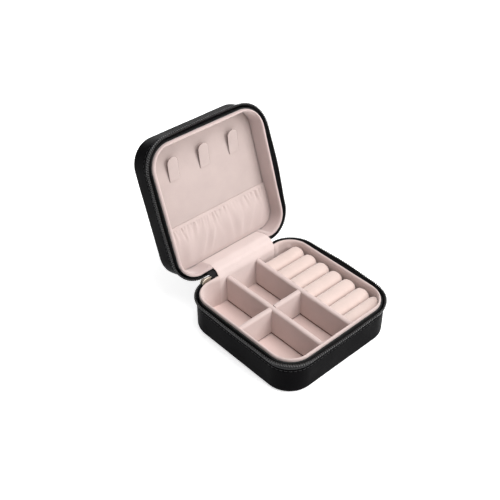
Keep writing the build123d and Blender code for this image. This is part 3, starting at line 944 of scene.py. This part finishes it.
def pouch_height(x, y):
    """How far the pouch stands off the panel: its belly, its puckers under the hem and its folds."""
    t = min(max((y - HEM_Y) / (SEAM_Y - HEM_Y), 0.0), 1.0)
    below = y - HEM_Y
    belly = 0.6 + 1.7 * math.sin(math.pi * min(1.0, t * 1.02)) ** 0.8
    sides = min(1.0, (WALL - abs(x)) / 8.0)
    belly = 0.6 + (belly - 0.6) * (0.3 + 0.7 * math.sin(max(sides, 0.0) * math.pi / 2))
    pucker = 0.0
    start = ease((below - 1.6) / 1.0)
    for at, slant, length, width, depth in GATHERS:
        off = x - at - slant * below - 0.5 * wobble(at, y, 0, 5, 3.0)
        wide = width * (1 + 0.09 * below)
        if abs(off) < 3.2 * wide:
            fade = start * math.exp(-(max(0.0, below - 2.0) / length) ** 1.6)
            pucker += depth * fade * (0.45 * bump(off - 1.5 * wide, 1.1 * wide) - 0.85 * bump(off, wide))
    slow = 0.0
    for at, slant, width, depth in FOLDS:
        off = x - at - slant * (below - 12)
        mid = math.sin(math.pi * min(max((below - 5.0) / 25.0, 0.0), 1.0))
        slow += depth * mid * (bump(off, width) - 0.5 * bump(off + 2.0 * width, width))
    slow += 0.22 * wobble(x, y * 0.6, 0, 7, 12.0) * math.sin(math.pi * t)
    end = 1 - max(0.0, (t - 0.9) / 0.1) ** 2 * 0.75
    return max(0.2, belly * end + pucker + slow * sides)


def tab_mesh(x_mid, seed):
    """Tongue tab: sewn at its root, round free end curling off the panel."""
    root, tip, half = -17.2, -33.3, 4.0
    front, back = [], []
    for i in range(TAB_ROWS):
        t = i / (TAB_ROWS - 1)
        s = t * (root - tip)
        to_tip = (root - tip) - s
        w = half if to_tip > half else math.sqrt(max(0.0, half ** 2 - (half - to_tip) ** 2))
        w = max(w, 0.12)
        lift = 0.05 + 3.2 * t ** 1.3
        for j in range(TAB_COLS):
            u = -1 + 2 * j / (TAB_COLS - 1)
            cup = 0.22 * (1 - u * u) * t
            edge = 0.2 * (abs(u) > 0.99 or i == TAB_ROWS - 1)
            z = PANEL_Z + lift + cup + 0.05 * wobble(x_mid + u * w, s, 0, 4, seed)
            front.append((x_mid + u * w, root - s, z + 0.6 - edge))
            back.append((x_mid + u * w, root - s, z + edge * 0.6))
    return closed_sheet(front, back, TAB_ROWS, TAB_COLS)


def tab_edge_and_shade(x_mid, seed):
    """The tab's cut edge, a dark brown strip round its outline; its darkness is partly the raw edge's own
    colour and partly painted shade for the crescent under the lifted tab.
    """
    points, _ = tab_mesh(x_mid, seed)
    points[:, 0] += 0.05 * np.sign(points[:, 0] - x_mid)
    line = [i * TAB_COLS for i in range(TAB_ROWS)]
    line += [(TAB_ROWS - 1) * TAB_COLS + j for j in range(1, TAB_COLS)]
    line += [i * TAB_COLS + TAB_COLS - 1 for i in range(TAB_ROWS - 2, -1, -1)]
    under = [i + TAB_ROWS * TAB_COLS for i in line]
    k = len(line)
    faces = [(i, i + 1, i + 1 + k, i + k) for i in range(k - 1)]
    return np.concatenate([points[line], points[under]]), faces


# ---------------------------------------------------------------- build
def put(obj, body, nodes):
    """Lets a piece ride on a body, in the place of its CAD nodes."""
    if nodes:
        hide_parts(*nodes)
    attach(obj, body)
    return obj


def paint(node, material):
    """Gives a CAD node that stays in view its material."""
    obj = frame["nodes"][node]
    for i in range(len(obj.material_slots)):
        obj.material_slots[i].link = "OBJECT"
        obj.material_slots[i].material = material
    return obj


for half, lid in (("base", False), ("lid", True)):
    skin = make(f"{half}_skin", *leather_band(lid), M_LEATHER, lid=lid, sharp=60)
    put(skin, half, ["lid_leather" if lid else "base_side_leather"])
    put(make(f"{half}_stitching", *stitches(), M_THREAD, lid=lid), half, [])
    put(make(f"{half}_tape", *tape(), M_TAPE, lid=lid), half, [f"{half}_zipper_tape"])
    put(make(f"{half}_coil", *coil(lid), M_COIL, lid=lid), half, [f"{half}_zipper_coil"])
    wall = make(f"{half}_lip_lining", *liner(lid), M_LID_WALL_SHADED if lid else M_VELVET, lid=lid)
    put(wall, half, [f"{half}_liner"])

# base inside
plate = pad_plate(44.4, 14.0, FLOOR_Z, 2.9, 0.0, 1, edge=0.3, noise_mm=0.12)
# its velvet is lighter than the walls': painted light
floor_pad = make("base_floor_velvet", *plate, M_FLOOR_LIT)
put(floor_pad, "base", ["base_floor_pad"])

lo, hi = box_mm("middle_divider")
mid_x, thick = (lo[0] + hi[0]) / 2, hi[0] - lo[0]
foot, crest = FLOOR_Z + 1.1, DIVIDER_Z + 0.1
for node, seed, bend in (("middle_divider", 1.0, 0.3), ("ring_divider", 4.0, -0.25)):
    lo, hi = box_mm(node)
    wall = divider((lo[0] + hi[0]) / 2, lo[1] + 0.1, hi[1] - 0.1, foot, crest, thick, seed=seed, bend=bend)
    put(make(f"{node}_velvet", *wall, M_VELVET), "base", [node])
lo, hi = box_mm("cross_divider")
cross_y, foot, crest = (lo[1] + hi[1]) / 2, FLOOR_Z + 0.8, DIVIDER_Z
halves = []
for x0, x1, seed, bend in ((lo[0] + 0.35, mid_x - thick / 2 + 0.5, 7.0, 0.1),
                           (mid_x + thick / 2 + 0.25, hi[0] - 0.05, 9.0, -0.1)):
    halves.append(divider(cross_y, x0, x1, foot, crest, thick, along_y=False, seed=seed, bend=bend))
put(make("cross_divider_velvet", *joined(halves), M_VELVET), "base", ["cross_divider"])

paint("ring_bed", M_ROLL_LIT)
for k in range(1, 8):
    lo, hi = box_mm(f"ring_roll_{k}")
    y, z = (lo[1] + hi[1]) / 2, (lo[2] + hi[2]) / 2 + 0.1
    if k == 7:
        y += 0.1
    points, faces = ring_roll(k, y, z, lo[0] - 0.7, 42.9, 5.8, 5.9)
    roll = make(f"ring_roll_{k}_velvet", clip_to_wall(points), faces, M_ROLL_LIT)
    put(roll, "base", [f"ring_roll_{k}"])

# dark strips under the dividers' feet, on the floor: painted shade in the gap between each divider and the
# floor
foot_shade_strips = []
for node in ("middle_divider", "ring_divider", "cross_divider"):
    lo, hi = box_mm(node)
    trim = np.array([0.6, 0.45] if node == "cross_divider" else [0.45, 0.6])
    (x0, y0), (x1, y1) = lo[:2] + trim, hi[:2] - trim
    corners = [(x, y, z) for z in (FLOOR_Z + 0.02, FLOOR_Z + 1.9) for y in (y0, y1) for x in (x0, x1)]
    sides = [(0, 1, 3, 2), (4, 5, 7, 6), (0, 1, 5, 4), (2, 3, 7, 6), (0, 2, 6, 4), (1, 3, 7, 5)]
    foot_shade_strips.append((corners, sides))
put(make("divider_foot_painted_shade", *joined(foot_shade_strips), M_EDGE_SHADE), "base", [])

# hinge: each strip follows the base below the fold, the lid beyond it
direction = Vector((0, math.sin(OPEN), math.cos(OPEN))) + Vector((0, 0, 1))
direction.normalize()
for name, kind, x0, x1, thick_mm, material, slot, reach in (
        ("hinge_spine_leather", "spine", SPINE_X[0], SPINE_X[1], 0.9, M_SPINE, "black_leather", 2.2),
        ("hinge_lining_velvet", "lining", LINING_X[0], LINING_X[1], 0.8, M_HINGE_LIT, "pink_velvet", 3.2),
        ("zipper_end_patch", "patch", SPINE_X[0] - 2.4, LINING_X[0] + 0.3, 0.4, M_TAPE, "zipper_tape", 2.6)):
    strip = make(name, *hinge_strip(kind, x0, x1, thick_mm, 3.0), material)
    node = {"spine": "hinge_spine", "lining": "hinge_lining", "patch": "zipper_end_tape"}[kind]
    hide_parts(node)
    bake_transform(strip)

# lid inside
plate = pad_plate(WALL - 0.62, WALL - WALL_C - 0.5, PANEL_Z, PANEL_Z - 2.0, 0.0, 1,
                  edge=0.45, noise_mm=0.10, seed=5.0)
panel = make("lid_panel_velvet", *plate, M_PANEL_SHADED, lid=True)
put(panel, "lid", ["lid_panel"])
xs = np.linspace(-(WALL - 0.3), WALL - 0.3, 230)
ys = np.concatenate([np.linspace(HEM_Y, HEM_Y + 3.2, 14)[:-1], np.linspace(HEM_Y + 3.2, SEAM_Y, 44)])
pouch = height_sheet(xs, ys, pouch_height, 0.5, pouch_inside)
bag = make("lid_pouch_velvet", *pouch, M_POUCH_SHADED, lid=True, sharp=80)
put(bag, "lid", ["lid_pouch"])
for k in (1, 2, 3):
    lo, hi = box_mm(f"necklace_tab_{k}")
    place, seed = (lo[0] + hi[0]) / 2, 2.0 * (k - 1)
    tab = make(f"necklace_tab_{k}_velvet", *tab_mesh(place, seed), M_PANEL_SHADED, lid=True)
    put(tab, f"tab_{k}", [f"necklace_tab_{k}"])
    # the dark edge strip is partly painted shade under the tab's lifted edge
    edge = make(f"necklace_tab_{k}_edge", *tab_edge_and_shade(place, seed), M_EDGE_SHADE, lid=True)
    put(edge, f"tab_{k}", [])

put(make("slider_plates", *slider_mesh(), M_METAL, sharp=40), "slider", ["slider_body"])

# rigid CAD pieces keep their shape and get a finish
paint("base_bottom_leather", M_UNDER)
for node in ("base_board", "base_frame", "lid_board", "lid_frame"):
    paint(node, M_BOARD)
for node in ("lid_foam", "lid_panel_foam"):
    paint(node, M_FOAM)
paint("pouch_elastic", M_ELASTIC)
for node in ("slider_bridge", "pull_tab"):
    paint(node, M_METAL)


# ---------------------------------------------------------------- floor, light, camera
def stage_floor():
    mesh = bpy.data.meshes.new("floor")
    mesh.from_pydata([(-40, -40, 0), (40, -40, 0), (40, 40, 0), (-40, 40, 0)], [], [(0, 1, 2, 3)])
    obj = bpy.data.objects.new("floor", mesh)
    bpy.context.scene.collection.objects.link(obj)
    mat, tree, bsdf = nodes_of("floor")
    bsdf.inputs["Base Color"].default_value = (0.93, 0.93, 0.93, 1)
    bsdf.inputs["Roughness"].default_value = 0.9
    bsdf.inputs["Specular IOR Level"].default_value = 0.1
    bsdf.inputs["Emission Color"].default_value = (1, 1, 1, 1)
    bsdf.inputs["Emission Strength"].default_value = 0.62
    mesh.materials.append(mat)


def area_light(name, place, target, size, power, colour=(1, 1, 1)):
    light = bpy.data.lights.new(name, "AREA")
    light.shape = "RECTANGLE"
    light.size, light.size_y = size
    light.energy = power
    light.color = colour
    obj = bpy.data.objects.new(name, light)
    obj.location = place
    obj.rotation_euler = (Vector(target) - Vector(place)).to_track_quat("-Z", "Y").to_euler()
    bpy.context.scene.collection.objects.link(obj)


stage_floor()
world = bpy.data.worlds.new("studio")
world.use_nodes = True
world.node_tree.nodes["Background"].inputs["Color"].default_value = (1, 1, 1, 1)
world.node_tree.nodes["Background"].inputs["Strength"].default_value = 0.42
bpy.context.scene.world = world
area_light("key", (0.26, -0.62, 1.65), (0, 0.02, 0.03), (1.3, 1.3), 27.0)
area_light("back", (0.95, 1.5, 0.5), (0, 0.05, 0.08), (1.4, 0.7), 9.0)
area_light("front", (0.62, -1.25, 0.85), (0, 0.02, 0.03), (0.9, 0.7), 15.0)

camera_data = bpy.data.cameras.new("camera")
camera_data.sensor_width = 36.0
camera_data.lens = 60.9
camera = bpy.data.objects.new("camera", camera_data)
azimuth, elevation, distance = math.radians(-42.55), math.radians(38.3), 0.553
target = Vector((0.0005, 0.03855, 0.040))
level = math.cos(elevation)
back = Vector((math.sin(azimuth) * level, -math.cos(azimuth) * level, math.sin(elevation)))
camera.location = target + back * distance
camera.rotation_euler = (-back).to_track_quat("-Z", "Y").to_euler()
camera_data.clip_start, camera_data.clip_end = 0.01, 20
bpy.context.scene.collection.objects.link(camera)
bpy.context.scene.camera = camera
bpy.context.scene.view_settings.view_transform = "Standard"
